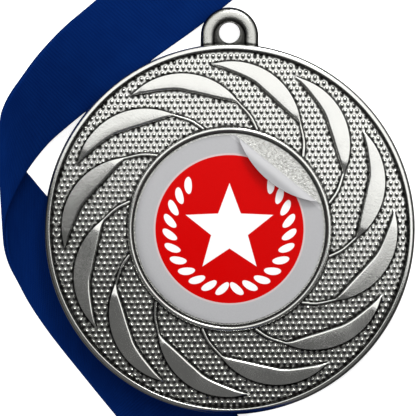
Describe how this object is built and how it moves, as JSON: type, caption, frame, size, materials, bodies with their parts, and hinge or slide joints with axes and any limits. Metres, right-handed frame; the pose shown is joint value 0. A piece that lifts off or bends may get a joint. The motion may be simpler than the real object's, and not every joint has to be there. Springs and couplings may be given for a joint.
{
  "type": "award medal with neck ribbon",
  "caption": "Cast round award medal with swirling blades on a pebbled field, an eye, a peeling stick-on centre label, and a folded neck ribbon with a wire clip.",
  "frame": {"origin": "middle of the round label seat in the medal's back, on the seat's floor", "axes": "+Z out of the medal's face, +Y from the medal's centre to its eye"},
  "size_m": [0.0564, 0.1046, 0.0199],
  "materials": {
    "antique_silver": "cast, silver plated and antiqued, satin with dark recesses",
    "adhesive": "clear pressure-sensitive film",
    "label_print": "printed vinyl, red disc on pale grey, semi-gloss",
    "ribbon_weave": "navy blue polyester ribbon, fine cross ribs",
    "thread": "navy polyester sewing thread",
    "clip_wire": "nickel-plated spring wire"
  },
  "bodies": {
    "ribbon": {"neck_ribbon": "ribbon_weave", "ribbon_roll": "ribbon_weave", "seam_stitching": "thread"},
    "medal": {"medal_body": "antique_silver", "label_adhesive": "adhesive", "centre_label": "label_print"},
    "flap": {"label_flap": "label_print"},
    "clip": {"ribbon_clip": "clip_wire"}
  },
  "joints": [
    {"name": "medal_lift", "type": "slide", "parent": "ribbon", "child": "medal", "axis": [0, 0, 1], "range_m": [0, 0.03]},
    {"name": "flap_crease", "type": "hinge", "parent": "medal", "child": "flap", "pos_m": [0.00651, 0.00798, 0.00156], "axis": [-0.7749, 0.632, 0], "range_deg": [0, 165]},
    {"name": "clip_swing", "type": "hinge", "parent": "ribbon", "child": "clip", "pos_m": [0.00901, 0.0455, -0.00019], "axis": [0.5975, -0.8019, 0], "range_deg": [0, 160]}
  ]
}
